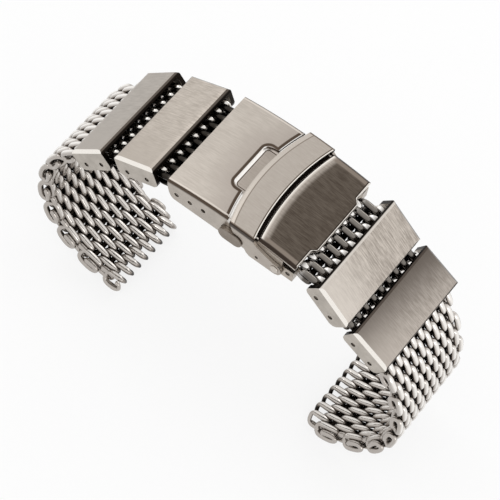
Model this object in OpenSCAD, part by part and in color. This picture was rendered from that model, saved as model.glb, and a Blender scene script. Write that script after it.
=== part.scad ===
// Watch bracelet of woven steel mesh with plate links and a folding safety clasp.
// Millimetres, +Z up, +X along the strap over the clasp, Y across the strap.
// The origin lies under the middle of the bracelet, on the ground that both free ends rest on.
// Inner positions are measured from the left end of the clasp cover, at the level of its edges.

/* [Mesh] */
// Distance between neighbouring mesh rows along the arms
row_pitch = 3.4; // [3.34:0.02:3.5]
// Distance between neighbouring rows in the short pieces left of the clasp
left_pitch = 3.5; // [3.4:0.02:3.54]
// Distance between neighbouring rows in the short pieces right of the clasp
right_pitch = 3.4; // [3.36:0.02:3.44]
// Thickness of the mesh
mesh_t = 3.3; // [3.1:0.05:3.35]
// Distance between the loops of one row across the strap
loop_pitch = 2.4; // [2.2:0.05:2.4]
// Gap across the strap between the loops of neighbouring rows
loop_gap = 0.15; // [0.1:0.05:0.3]
// Gap along the strap between a loop's end and the core of the next row
loop_clear = 0.1; // [0.1:0.02:0.2]
// Least gap between the mesh and the side walls around it
mesh_side = 0.3; // [0.2:0.02:0.32]
// Radius of the wire core that joins the loops of a row
core_r = 0.85; // [0.7:0.05:0.9]
// Radius of the core of a row that a link pin passes through
pin_core_r = 1.1; // [1:0.05:1.15]
// Radius of the core of a row that a clasp spring bar passes through
bar_core_r = 1.2; // [1.15:0.05:1.25]
// Radius of the core of the last row at each free end
end_core_r = 1.35; // [1.3:0.05:1.35]
// Radius of the bore at each free end, for the spring bar of the watch
end_bore_r = 0.95; // [0.9:0.01:1]

/* [Arms] */
// Slope of the left arm where it leaves its plate link, in degrees
left_slope = 40.9; // [40:0.1:42]
// Bend from row to row at the start of the left arm, in degrees
left_bend = 6.3; // [6:0.1:6.5]
// Growth of that bend along the left arm, in degrees
left_growth = 0.18; // [0.14:0.01:0.2]
// Slope of the right arm where it leaves its plate link, in degrees
right_slope = 52.5; // [51:0.1:53]
// Bend from row to row at the start of the right arm, in degrees
right_bend = 4.2; // [4:0.01:4.4]
// Growth of that bend along the right arm, in degrees
right_growth = 0.29; // [0.27:0.002:0.31]

/* [Plate links] */
// Length of a plate link along the strap
link_l = 9.6; // [9.2:0.1:9.8]
// Width of the plate links and of the clasp
strap_w = 24; // [20:1:28]
// Height of a plate link
link_h = 4.7; // [4.5:0.1:4.9]
// Thickness of the side walls of a plate link
link_wall = 0.95; // [0.9:0.05:1]
// Thickness of the top of a plate link
link_top = 1; // [0.9:0.05:1.1]
// Bevel along the long top edges of a plate link
link_bevel = 0.6; // [0.4:0.05:0.7]
// Distance between the two pins of a plate link
pin_gap = 4.8; // [4.7:0.05:4.9]
// Depth of the pins below the top of a plate link
pin_depth = 3.3; // [3.2:0.05:3.3]
// Radius of the link pins
pin_r = 0.5; // [0.45:0.01:0.5]
// Radial clearance of a mesh row on its pin or bar
row_clear = 0.06; // [0.05:0.01:0.08]

/* [Clasp cover] */
// Length of the clasp cover
cover_l = 26.2; // [25.4:0.2:28]
// Depth of the side walls below the edge level
cover_d = 4.8; // [4.75:0.05:4.9]
// Thickness of the side walls
cover_wall = 0.9; // [0.85:0.05:0.9]
// Thickness of the top plate
cover_top = 1.1; // [1:0.05:1.1]
// Radius of the gentle crown along the strap
crown_r = 88; // [86:1:90]
// Height of the crown above the edge level
crown_h = 1.2; // [1.1:0.05:1.25]
// Place of the highest line of the crown
crown_x = 14.5; // [14:0.1:15]
// Bevel along the long top edges
cover_bevel = 0.35; // [0.2:0.05:0.45]
// Depth of the sunk field that the lock strip lies in
sink = 0.6; // [0.5:0.05:0.6]
// Where the finger notch starts
notch_x = 9.7; // [9.4:0.1:10]
// Half width of the finger notch
notch_w = 5.45; // [5:0.05:5.8]
// Place of the left spring bar along the clasp
bar_x = 2.34; // [2.3:0.01:2.4]
// Height of the left spring bar above the lower edge of the cover
bar_up = 1.94; // [1.85:0.01:1.96]
// Distance between the adjustment holes
adjust_gap = 3; // [2.9:0.05:3.1]
// Rise of the adjustment holes from one to the next
adjust_rise = 0.42; // [0.3:0.02:0.5]

/* [Spring bars] */
// Radius of the body of a spring bar
bar_r = 0.7; // [0.65:0.01:0.72]
// Radius of the tips of a spring bar
tip_r = 0.44; // [0.4:0.01:0.45]
// Clearance of a tip in its hole
tip_clear = 0.06; // [0.05:0.01:0.08]
// Distance from the right end of the cover to the right spring bar
end_bar_out = 1.4; // [1.35:0.01:1.5]
// Height of the right spring bar above the lower edge of the cover
end_bar_up = 1.6; // [1.55:0.01:1.7]

/* [Safety lock] */
// Thickness of the lock strip over the cover
strip_t = 0.8; // [0.7:0.05:0.85]
// Gap under the lock strip
strip_gap = 0.15; // [0.12:0.01:0.2]
// Place of the left edge of the strip at mid width
strip_left = 12.3; // [12.2:0.05:12.4]
// Place of the right edge of the strip at mid width
strip_right = 18.3; // [18.2:0.05:18.4]
// Bow of the left edge of the strip
bow_left = 2.1; // [2:0.05:2.2]
// Bow of the right edge of the strip
bow_right = 1.7; // [1.6:0.05:1.8]
// Gap between the side arms and the cover walls
arm_gap = 0.06; // [0.05:0.01:0.08]
// Thickness of the side arms
arm_t = 0.6; // [0.5:0.05:0.65]
// Gap in the plane of the walls between a lock arm and the button beside it
arm_clear = 0.25; // [0.2:0.05:0.3]
// Distance of the lock pivot from the right end of the cover
pivot_in = 1.05; // [1:0.05:1.1]
// Height of the lock pivot above the lower edge of the cover
pivot_up = 1.5; // [1.45:0.05:1.55]
// Radial clearance of the arms on their pivot pins
pivot_clear = 0.05; // [0.04:0.01:0.08]
// Gap between the strip and the top pad
pad_gap = 0.55; // [0.5:0.01:0.6]
// Thickness of the top pad
pad_t = 0.9; // [0.8:0.05:0.9]
// Bevel of the top pad beside the strip
pad_bevel = 0.6; // [0.5:0.05:0.65]
// Reach of the top pad beyond the right end of the cover
pad_out = 2.7; // [2.5:0.1:2.8]
// Reach of the middle of the top pad beyond its ends
pad_tab = 0.9; // [0.7:0.05:1]
// Half width of that middle
tab_w = 6; // [5:0.25:7]

/* [Push buttons] */
// Place of the buttons along the clasp
button_x = 15.2; // [15.15:0.05:15.25]
// Height of the buttons above the lower edge of the cover
button_up = 2; // [1.95:0.05:2]
// Half height of a button
button_r = 1.5; // [1.4:0.05:1.5]
// Distance from the middle of a button to the centre of its round ends
button_s = 1.1; // [1:0.05:1.1]
// How far a button stands out of the wall
button_out = 0.95; // [0.8:0.05:1]
// Clearance of a button in its hole
button_clear = 0.08; // [0.06:0.01:0.1]
// Mean radius of a button spring
coil_r = 0.55; // [0.5:0.01:0.55]
// Length of a button spring
coil_l = 3.3; // [3:0.1:3.5]
// Turns of a button spring
coil_turns = 5; // [4:1:6]

/* [Blades] */
// Thickness of the outer blade
outer_t = 0.6; // [0.55:0.05:0.6]
// Thickness of the inner blade
inner_t = 0.55; // [0.5:0.05:0.55]
// Gap between the blades
blade_gap = 0.15; // [0.12:0.01:0.15]
// Gap between the side walls of the cover and the outer blade
outer_side = 1.2; // [1.15:0.05:1.25]
// How far the inner blade is narrower on each side than the outer blade
inner_side = 2; // [2:0.05:2.2]
// Half width of the middle barrel between the blades
knuckle = 4; // [3.5:0.25:4.5]
// Place of the hinge between the blades
fold_x = 6.2; // [6.15:0.05:6.25]
// Height of the hinge between the blades above the lower edge of the cover
fold_up = 1.35; // [1.3:0.05:1.35]
// Distance of the cover hinge from the right end of the cover
top_in = 3; // [3:0.05:3.1]
// Height of the cover hinge above the lower edge of the cover
top_up = 1.9; // [1.9:0.02:1.94]
// Gap between the mesh and the lugs of the outer blade, across the strap
lug_gap = 0.52; // [0.4:0.02:0.56]
// Gap between the lugs and the next mesh row, along the strap
lug_clear = 0.25; // [0.2:0.05:0.4]
// Radius of the hinge barrels
barrel_r = 1.05; // [1:0.05:1.05]
// Radius of the hinge pins
hinge_r = 0.5; // [0.45:0.01:0.5]
// Radial clearance of a barrel that turns on its pin
hinge_clear = 0.05; // [0.04:0.01:0.06]

/* [Hidden] */
$fn = 48;
satin = [0.76, 0.73, 0.69];
brushed = [0.73, 0.70, 0.66];
dark_brushed = [0.42, 0.39, 0.36];
wire = [0.70, 0.68, 0.64];
bright = [0.85, 0.84, 0.82];
half_w = strap_w / 2;
through = 2 * strap_w;
left_rows = 16;
right_rows = 15;
loop_w = loop_pitch / 2 - loop_gap;
loop_r = min(row_pitch, left_pitch, right_pitch) - max(core_r, pin_core_r, bar_core_r, end_core_r) - loop_clear;
half_step = loop_pitch / 4;
loops = 1 + floor((strap_w - 2 * link_wall - 2 * mesh_side - loop_w - 2 * half_step) / loop_pitch);
row_half = (loops - 1) / 2 * loop_pitch + loop_w / 2;
cover_in = half_w - cover_wall;
bar_z = bar_up - cover_d;
end_bar_x = cover_l + end_bar_out;
end_bar_z = end_bar_up - cover_d;
hole_r = tip_r + tip_clear;
pivot_x = cover_l - pivot_in;
pivot_z = pivot_up - cover_d;
pad_end = cover_l + pad_out;
button_z = button_up - cover_d;
fold_z = fold_up - cover_d;
top_x = cover_l - top_in;
top_z = top_up - cover_d;
outer_w = cover_in - outer_side;
inner_w = outer_w - inner_side;
coil_start = outer_w - 1.8 - coil_l;
lug_in = row_half - half_step + lug_gap;
slot_l = barrel_r + 0.35;
knuckle_out = 2 * knuckle + 0.1;
lug_end = end_bar_x + right_pitch - loop_r - lug_clear;
floor_r = crown_r - sink;
strip_in_r = floor_r + strip_gap;
strip_out_r = strip_in_r + strip_t;
arm_in = half_w + arm_gap;
arm_out = arm_in + arm_t;
outer_z = -cover_d;
outer_top = outer_z + outer_t;
inner_z = outer_top + blade_gap;
inner_top = inner_z + inner_t;
left_arc_r = (pow(arm_out, 2) + pow(bow_left, 2)) / (2 * bow_left);
right_arc_r = (pow(arm_out, 2) + pow(bow_right, 2)) / (2 * bow_right);
left_arc_x = strip_left + left_arc_r;
right_arc_x = strip_right + right_arc_r;

// Points reached by steps of one length along a list of slopes, side -1 left or 1 right
function walk(p, slopes, step, side, i = 0) =
    i >= len(slopes) ? [p]
    : concat([p], walk(ahead(p, slopes[i], step, side), slopes, step, side, i + 1));
// One step from a point down a slope
function ahead(p, slope, step, side) = [p[0] + side * step * cos(slope), p[1] - step * sin(slope)];
// Slope of an arm after i rows
function arm_slope(start, bend, growth, i) = start + bend * i + growth * i * i;
function left_at(i) = arm_slope(left_slope, left_bend, left_growth, i);
function right_at(i) = arm_slope(right_slope, right_bend, right_growth, i);

// Slopes of the short pieces and plate links, from the clasp outwards
left_short_a = [13, 18];
left_link_a = 24.5;
left_short_b = [29, 35];
left_link_b = 46;
right_short_a = [5, 15];
right_link_a = 40;
right_short_b = [32, 30];
right_link_b = 30;

left_a = walk([bar_x, bar_z], left_short_a, left_pitch, -1);
left_b0 = ahead(left_a[2], left_link_a, pin_gap, -1);
left_b = walk(left_b0, left_short_b, left_pitch, -1);
left_c0 = ahead(left_b[2], left_link_b, pin_gap, -1);
left_c = walk(left_c0, [for (i = [0 : left_rows - 1]) left_at(i)], row_pitch, -1);
right_a = walk([end_bar_x, end_bar_z], right_short_a, right_pitch, 1);
right_b0 = ahead(right_a[2], right_link_a, pin_gap, 1);
right_b = walk(right_b0, right_short_b, right_pitch, 1);
right_c0 = ahead(right_b[2], right_link_b, pin_gap, 1);
right_c = walk(right_c0, [for (i = [0 : right_rows - 1]) right_at(i)], row_pitch, 1);

// How far a row at a slope reaches from its middle, level and down
function reach(along, over) = loop_r * over <= mesh_t / 2 ? loop_r
    : sqrt(pow(loop_r, 2) - pow(mesh_t / 2, 2)) * along + mesh_t / 2 * over;
function level_reach(slope) = reach(abs(cos(slope)), abs(sin(slope)));
function down_reach(slope) = reach(abs(sin(slope)), abs(cos(slope)));
// Middle of the bracelet along the strap, and height of the edge level over the ground
left_most = min([for (i = [0 : left_rows]) left_c[i][0] - level_reach(left_at(i - 0.5))]);
right_most = max([for (i = [0 : right_rows]) right_c[i][0] + level_reach(right_at(i - 0.5))]);
mid_x = (left_most + right_most) / 2;
base_h = -min(
    min([for (i = [0 : left_rows]) left_c[i][1] - down_reach(left_at(i - 0.5))]),
    min([for (i = [0 : right_rows]) right_c[i][1] - down_reach(right_at(i - 0.5))]));

// Puts a piece at a point of the strap, turned down by its slope
module at(p, slope, side) {
    translate([p[0] - mid_x, 0, p[1] + base_h])
        rotate([0, side * slope, 0]) children();
}

// Clasp pieces share the frame of the clasp cover
module clasp() {
    translate([-mid_x, 0, base_h]) children();
}

// A round bar across the strap
module across(r, w, y = 0) {
    translate([0, y, 0]) rotate([90, 0, 0]) cylinder(h = w, r = r, center = true);
}

// One row of the mesh: loops side by side on a core, offset to the near or far side
// kind -1 near or 1 far, count loops from the near end, bore radius 0 for none
module row(kind, core, bore = 0, count = loops) {
    mid = kind * half_step;
    low = mid - (loops - 1) / 2 * loop_pitch;
    w = (count - 1) * loop_pitch + loop_w;
    difference() {
        union() {
            intersection() {
                union() for (i = [0 : count - 1]) across(loop_r, loop_w, low + i * loop_pitch);
                cube([3 * loop_r, through, mesh_t], center = true);
            }
            across(core, w - 0.2, low + (count - 1) * loop_pitch / 2);
        }
        if (bore > 0) across(bore, through);
    }
}

// Rows of the left arm in its part k: the pin row alone, then two by two
module left_part(k) {
    color(wire) for (i = [max(0, 2 * k - 3) : min(2 * k - 2, left_rows)])
        at(left_c[i], left_at(i - 0.5), -1)
            row(i % 2 == 0 ? -1 : 1, core_of(i, left_rows), bore_of(i, left_rows));
}

// Rows of the right arm in its part k
module right_part(k) {
    color(wire) for (i = [max(0, 2 * k - 3) : min(2 * k - 2, right_rows)])
        at(right_c[i], right_at(i - 0.5), 1)
            row(i % 2 == 0 ? -1 : 1, core_of(i, right_rows), bore_of(i, right_rows));
}

function core_of(i, last) = i == 0 ? pin_core_r : i == last ? end_core_r : core_r;
function bore_of(i, last) = i == 0 ? pin_r + row_clear : i == last ? end_bore_r : 0;

// Folded plate link, open below, centred on the line of its two pins
module plate_link() {
    top = pin_depth;
    low = pin_depth - link_h;
    e = link_l / 2;
    color(brushed) difference() {
        intersection() {
            rotate([90, 0, 0]) linear_extrude(height = strap_w, center = true)
                polygon([
                    [-e, low + 1.1], [-e + 0.3, low + 0.4], [-e + 1, low],
                    [e - 1, low], [e - 0.3, low + 0.4], [e, low + 1.1],
                    [e, top - 0.9], [e - 0.12, top - 0.45], [e - 0.5, top - 0.12], [e - 1.2, top],
                    [-e + 1.2, top], [-e + 0.5, top - 0.12], [-e + 0.12, top - 0.45], [-e, top - 0.9]
                ]);
            rotate([90, 0, 90]) linear_extrude(height = link_l + 2, center = true)
                polygon([
                    [-half_w, low - 1], [half_w, low - 1],
                    [half_w, top - link_bevel], [half_w - link_bevel, top],
                    [-half_w + link_bevel, top], [-half_w, top - link_bevel]
                ]);
        }
        translate([-link_l, -half_w + link_wall, low - 1])
            cube([2 * link_l, strap_w - 2 * link_wall, link_h - link_top + 1]);
        for (s = [-1, 1]) translate([s * pin_gap / 2, 0, 0]) across(pin_r, strap_w + 2);
    }
}

// The two pins of a plate link
module link_pins() {
    color(bright) for (s = [-1, 1]) translate([s * pin_gap / 2, 0, 0]) across(pin_r, strap_w - 0.1);
}

function between(a, b) = (a + b) / 2;

// Round body with the crown's curve along the strap, with bevelled rims
module crown(r, w, bevel = 0) {
    translate([crown_x, 0, crown_h - crown_r]) rotate([90, 0, 0])
        rotate_extrude($fn = 240) polygon([
            [0, -w / 2], [r - bevel, -w / 2], [r, -w / 2 + bevel],
            [r, w / 2 - bevel], [r - bevel, w / 2], [0, w / 2]
        ]);
}

// Slot-shaped prism of a push button, grown by g, from a to b across the strap on one side
module button_shape(g, a, b, side) {
    y = side * (a + b) / 2;
    translate([button_x, 0, button_z]) {
        for (s = [-1, 1]) translate([s * button_s, 0, 0]) across(button_r + g, b - a, y);
        translate([-button_s, y - (b - a) / 2, -button_r - g])
            cube([2 * button_s, b - a, 2 * (button_r + g)]);
    }
}

module clasp_cover() {
    ear_w = 2.2;
    ear_y = inner_w + 0.2 + ear_w / 2;
    color(satin) clasp() difference() {
        union() {
            difference() {
                intersection() {
                    rotate([90, 0, 0]) linear_extrude(height = strap_w, center = true)
                        polygon([
                            [0, -0.1 * cover_d], [0.25, -0.46 * cover_d], [0.7, -0.75 * cover_d],
                            [1.2, -0.92 * cover_d], [1.9, -cover_d],
                            [cover_l - 0.8, -cover_d], [cover_l - 0.2, -cover_d + 0.3],
                            [cover_l, -cover_d + 0.9], [cover_l, 2], [0, 2]
                        ]);
                    crown(crown_r, strap_w, cover_bevel);
                }
                intersection() {
                    translate([-1, -cover_in, -cover_d - 1]) cube([cover_l + 2, 2 * cover_in, cover_d + crown_h + 2]);
                    crown(crown_r - cover_top, strap_w);
                }
                difference() {
                    union() {
                        translate([left_arc_x, 0, -1]) cylinder(h = 4, r = left_arc_r + 0.45, $fn = 180);
                        translate([0, 0, -1]) linear_extrude(height = 4) polygon([
                            [notch_x, -notch_w + 1.2], [notch_x + 0.35, -notch_w + 0.35],
                            [notch_x + 1.2, -notch_w], [strip_left + 0.7, -notch_w - 0.3],
                            [strip_left + 0.7, notch_w + 0.3], [notch_x + 1.2, notch_w],
                            [notch_x + 0.35, notch_w - 0.35], [notch_x, notch_w - 1.2]
                        ]);
                    }
                    crown(floor_r, strap_w + 4);
                }
            }
            intersection() {
                union() for (s = [-1, 1]) {
                    // lugs of the cover hinge
                    translate([top_x, 0, top_z]) across(barrel_r, ear_w, s * ear_y);
                    translate([top_x - barrel_r, s * ear_y - ear_w / 2, top_z]) cube([2 * barrel_r, ear_w, cover_d + 1]);
                    // seats of the button springs
                    translate([button_x - 1, s * (coil_start - 0.5) - 0.4, inner_top + blade_gap]) cube([2, 0.8, cover_d + 1]);
                }
                crown(floor_r - 0.2, strap_w);
            }
        }
        for (i = [0 : 2]) translate([bar_x + i * adjust_gap, 0, bar_z + i * adjust_rise]) across(hole_r, through);
        translate([top_x, 0, top_z]) across(hinge_r, 2 * ear_y + ear_w + 0.4);
        for (s = [-1, 1]) {
            button_shape(button_clear, cover_in - 1, half_w + 1, s);
            translate([pivot_x, 0, pivot_z]) across(hinge_r, 4, s * half_w);
        }
    }
}

// Brushed pad on the right half of the cover, over the strap end
module top_pad() {
    left_r = right_arc_r - pad_gap;
    rim = crown_h - sink + 0.15;
    color(dark_brushed) clasp() difference() {
        intersection() {
            crown(floor_r + pad_t, strap_w - 0.2, 0.45);
            translate([0, 0, -3]) linear_extrude(height = 6) polygon([
                [strip_left, -half_w + 0.1], [pad_end, -half_w + 0.1], [pad_end, -tab_w - 1.4],
                [pad_end + 0.2, -tab_w - 0.9], [pad_end + pad_tab - 0.2, -tab_w - 0.5], [pad_end + pad_tab, -tab_w],
                [pad_end + pad_tab, tab_w], [pad_end + pad_tab - 0.2, tab_w + 0.5], [pad_end + 0.2, tab_w + 0.9],
                [pad_end, tab_w + 1.4], [pad_end, half_w - 0.1], [strip_left, half_w - 0.1]
            ]);
            translate([right_arc_x, 0, 0]) rotate_extrude($fn = 180) polygon([
                [0, -4], [left_r, -4], [left_r, rim], [left_r - pad_bevel, rim + 0.75],
                [left_r - pad_bevel, 4], [0, 4]
            ]);
        }
        crown(floor_r, strap_w + 4);
    }
}

// Place between the strip and the lock pivot, t from 0 to 1
function arm_at(t) = strip_right + t * (pivot_x - strip_right);

// Bail with a strip over the cover and an arm down each side
module safety_lock() {
    near_x = strip_left + bow_left;
    ring_x = button_x + button_s;
    ring = button_r + arm_clear;
    color(satin) clasp() difference() {
        union() {
            intersection() {
                difference() {
                    crown(strip_out_r, 2 * arm_out, 0.2);
                    crown(strip_in_r, 2 * arm_out + 2);
                }
                difference() {
                    translate([left_arc_x, 0, -2]) cylinder(h = 6, r = left_arc_r, $fn = 180);
                    translate([right_arc_x, 0, -3]) cylinder(h = 8, r = right_arc_r, $fn = 180);
                }
                translate([0, -arm_out, -3]) cube([cover_l + 4, 2 * arm_out, 8]);
            }
            for (s = [-1, 1]) intersection() {
                translate([0, s * (arm_in + arm_t / 2), 0]) rotate([90, 0, 0])
                    linear_extrude(height = arm_t, center = true) polygon([
                        [near_x + 0.2, 3], [near_x + 0.35, 0.6], [near_x + 0.8, -0.3], [near_x + 1.2, button_z + ring + 0.05],
                        [ring_x + 0.23 * ring, button_z + 0.97 * ring], [ring_x + 0.69 * ring, button_z + 0.74 * ring],
                        [ring_x + ring, button_z + 0.17 * ring], [ring_x + 1.14 * ring, button_z - 0.34 * ring],
                        [ring_x + 1.49 * ring, button_z - 0.86 * ring], [ring_x + 3.4, -cover_d],
                        [pivot_x + 0.25, -cover_d], [pivot_x + 1.05, pivot_z - 1.1], [pivot_x + 1.45, pivot_z - 0.4],
                        [pivot_x + 1.45, pivot_z + 0.3], [pivot_x + 1.05, pivot_z + 1], [pivot_x + 0.45, pivot_z + 1.35],
                        [pivot_x - 0.55, pivot_z + 1.45], [arm_at(0.6), -1.1], [arm_at(0.34), -0.4],
                        [arm_at(0.235), 0.3], [arm_at(0.22), 3]
                    ]);
                crown(strip_out_r, 2 * arm_out, 0.2);
            }
        }
        translate([pivot_x, 0, pivot_z]) across(hinge_r + pivot_clear, through);
        translate([arm_at(0.42), 0, pivot_z - 0.3]) across(0.35, through);
    }
}

module lock_pivots() {
    color(bright) clasp() translate([pivot_x, 0, pivot_z]) for (s = [-1, 1]) {
        across(hinge_r, arm_out + 0.1 - cover_in, s * (arm_out + 0.1 + cover_in) / 2);
        across(0.85, 0.22, s * (arm_out + 0.14));
    }
}

// Push button with its flange, its hook over the ear and its tooth
module button(side) {
    color(satin) clasp() {
        button_shape(0, cover_in - 0.2, half_w + button_out, side);
        translate([button_x - 3.1, side * (cover_in - 0.4) - 0.3, button_z - 1.25]) cube([6.2, 0.6, 3.05]);
        translate([button_x - 0.6, side * (outer_w + cover_in - 1.8) / 2 - (cover_in + 1.6 - outer_w) / 2, button_z + 0.45])
            cube([1.2, cover_in + 1.6 - outer_w, 0.6]);
        translate([button_x - 0.6, side * (outer_w - 1.5) - 0.2, button_z - 0.55]) cube([1.2, 0.4, 1.6]);
        translate([button_x - 0.6, side * (outer_w - 0.9) - 0.6, button_z - 0.55]) cube([1.2, 1.2, 0.35]);
    }
}

module near_button() { button(-1); }
module far_button() { button(1); }

// Small coil spring between its seat and the hook of the button
module coil(side) {
    color(bright) clasp() translate([button_x, side * coil_start, button_z + 0.2]) rotate([side * -90, 0, 0])
        linear_extrude(height = coil_l, twist = -360 * coil_turns, slices = 10 * coil_turns, $fn = 6)
            translate([coil_r, 0]) circle(r = 0.17);
}

module near_spring() { coil(-1); }
module far_spring() { coil(1); }

// Blade between the outer blade and the cover
module inner_blade() {
    color(satin) clasp() difference() {
        union() {
            translate([fold_x + slot_l, -inner_w, inner_z]) cube([top_x - fold_x - slot_l, 2 * inner_w, inner_t]);
            translate([fold_x, -knuckle, inner_z]) cube([slot_l + 0.6, 2 * knuckle, inner_t]);
            translate([fold_x, 0, fold_z]) across(barrel_r, 2 * knuckle);
            translate([top_x, 0, top_z]) across(barrel_r, 2 * inner_w);
        }
        translate([fold_x, 0, fold_z]) across(hinge_r, through);
        translate([top_x, 0, top_z]) across(hinge_r, through);
        for (t = [0.34, 0.69])
            translate([fold_x + t * (top_x - fold_x), 0, inner_z - 1]) cylinder(h = 3, r = 2.2);
    }
}

// Lower blade with the ears that the buttons lock on and the lugs of the strap end
module outer_blade() {
    lug_w = half_w - 0.1;
    color(satin) clasp() difference() {
        union() {
            translate([fold_x, -outer_w, outer_z]) cube([cover_l - 0.7 - fold_x, 2 * outer_w, outer_t]);
            for (s = [-1, 1]) {
                translate([fold_x, 0, fold_z]) across(barrel_r, knuckle, s * (knuckle_out - knuckle / 2));
                // ears for the teeth of the buttons
                translate([button_x - 1.4, s * (outer_w - 0.45) - 0.25, outer_z]) cube([2.8, 0.5, 2.25]);
                // rails and lugs
                translate([cover_l - 1.7, s * (lug_in + 0.45) - 0.45, outer_z])
                    cube([lug_end - cover_l + 1.7, 0.9, end_bar_up + 0.6]);
                translate([cover_l - 1.7, s * (lug_in - 0.1) - 0.7, outer_z]) cube([1, 1.4, outer_t]);
                translate([cover_l + 0.15, s * (lug_in + lug_w) / 2 - (lug_w - lug_in) / 2, outer_z])
                    cube([lug_end - cover_l - 0.15, lug_w - lug_in, end_bar_up + 1.3]);
            }
        }
        translate([fold_x - 2, -knuckle - 0.1, outer_z - 1]) cube([2 + slot_l, 2 * knuckle + 0.2, 4]);
        translate([fold_x, 0, fold_z]) across(hinge_r + hinge_clear, through);
        translate([end_bar_x, 0, end_bar_z]) across(hole_r, through);
        for (s = [-1, 1])
            translate([button_x - 1, s * outer_w - 2, button_z - 0.75]) cube([2, 4, 0.65]);
        translate([fold_x + 0.52 * (top_x - fold_x), 0, outer_z - 1]) cylinder(h = 3, r = 3);
    }
}

module blade_pins() {
    color(bright) clasp() {
        translate([fold_x, 0, fold_z]) across(hinge_r, 2 * knuckle_out);
        translate([top_x, 0, top_z]) across(hinge_r - hinge_clear, 2 * inner_w + 4.8);
    }
}

// Spring bar with thinner tips
module spring_bar(body_w, tip_w) {
    color(bright) {
        across(bar_r, body_w);
        across(tip_r, tip_w);
    }
}

module left_bar() { clasp() translate([bar_x, 0, bar_z]) spring_bar(2 * cover_in - 0.1, strap_w - 0.2); }
module right_bar() { clasp() translate([end_bar_x, 0, end_bar_z]) spring_bar(2 * lug_in - 0.1, strap_w - 0.4); }

// Plate links 1 and 2 lie left of the clasp, 3 and 4 right of it
module link_at(n) {
    if (n == 1) at(between(left_b[2], left_c0), left_link_b, -1) children();
    if (n == 2) at(between(left_a[2], left_b0), left_link_a, -1) children();
    if (n == 3) at(between(right_a[2], right_b0), right_link_a, 1) children();
    if (n == 4) at(between(right_b[2], right_c0), right_link_b, 1) children();
}

module plate_link_1() { link_at(1) plate_link(); }
module plate_link_2() { link_at(2) plate_link(); }
module plate_link_3() { link_at(3) plate_link(); }
module plate_link_4() { link_at(4) plate_link(); }
module link_pins_1() { link_at(1) link_pins(); }
module link_pins_2() { link_at(2) link_pins(); }
module link_pins_3() { link_at(3) link_pins(); }
module link_pins_4() { link_at(4) link_pins(); }

// Two rows of a short piece: one on a bar or pin and the middle one
module short_pair(p, slopes, side, core, bore, count) {
    color(wire) {
        at(p[0], slopes[0], side) row(1, core, bore, count);
        at(p[1], between(slopes[0], slopes[1]), side) row(-1, core_r);
    }
}

// The last row of a short piece, on a pin
module short_end(p, slopes, side) {
    color(wire) at(p[2], slopes[1], side) row(1, pin_core_r, pin_r + row_clear);
}

module short_mesh_1() { short_pair(left_a, left_short_a, -1, bar_core_r, bar_r + row_clear, loops); }
module short_mesh_2() { short_end(left_a, left_short_a, -1); }
module short_mesh_3() { short_pair(left_b, left_short_b, -1, pin_core_r, pin_r + row_clear, loops); }
module short_mesh_4() { short_end(left_b, left_short_b, -1); }
module short_mesh_5() { short_pair(right_a, right_short_a, 1, bar_core_r, bar_r + row_clear, loops - 1); }
module short_mesh_6() { short_end(right_a, right_short_a, 1); }
module short_mesh_7() { short_pair(right_b, right_short_b, 1, pin_core_r, pin_r + row_clear, loops); }
module short_mesh_8() { short_end(right_b, right_short_b, 1); }

module left_mesh_1() { left_part(1); }
module left_mesh_2() { left_part(2); }
module left_mesh_3() { left_part(3); }
module left_mesh_4() { left_part(4); }
module left_mesh_5() { left_part(5); }
module left_mesh_6() { left_part(6); }
module left_mesh_7() { left_part(7); }
module left_mesh_8() { left_part(8); }
module left_mesh_9() { left_part(9); }

module right_mesh_1() { right_part(1); }
module right_mesh_2() { right_part(2); }
module right_mesh_3() { right_part(3); }
module right_mesh_4() { right_part(4); }
module right_mesh_5() { right_part(5); }
module right_mesh_6() { right_part(6); }
module right_mesh_7() { right_part(7); }
module right_mesh_8() { right_part(8); }
module right_mesh_9() { right_part(9); }

clasp_cover();
top_pad();
safety_lock();
lock_pivots();
near_button();
far_button();
near_spring();
far_spring();
inner_blade();
outer_blade();
blade_pins();
left_bar();
right_bar();
plate_link_1();
plate_link_2();
plate_link_3();
plate_link_4();
link_pins_1();
link_pins_2();
link_pins_3();
link_pins_4();
short_mesh_1();
short_mesh_2();
short_mesh_3();
short_mesh_4();
short_mesh_5();
short_mesh_6();
short_mesh_7();
short_mesh_8();
left_mesh_1();
left_mesh_2();
left_mesh_3();
left_mesh_4();
left_mesh_5();
left_mesh_6();
left_mesh_7();
left_mesh_8();
left_mesh_9();
right_mesh_1();
right_mesh_2();
right_mesh_3();
right_mesh_4();
right_mesh_5();
right_mesh_6();
right_mesh_7();
right_mesh_8();
right_mesh_9();
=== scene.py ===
import math

import bpy
import numpy as np
from mathutils import Matrix, Vector


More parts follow.
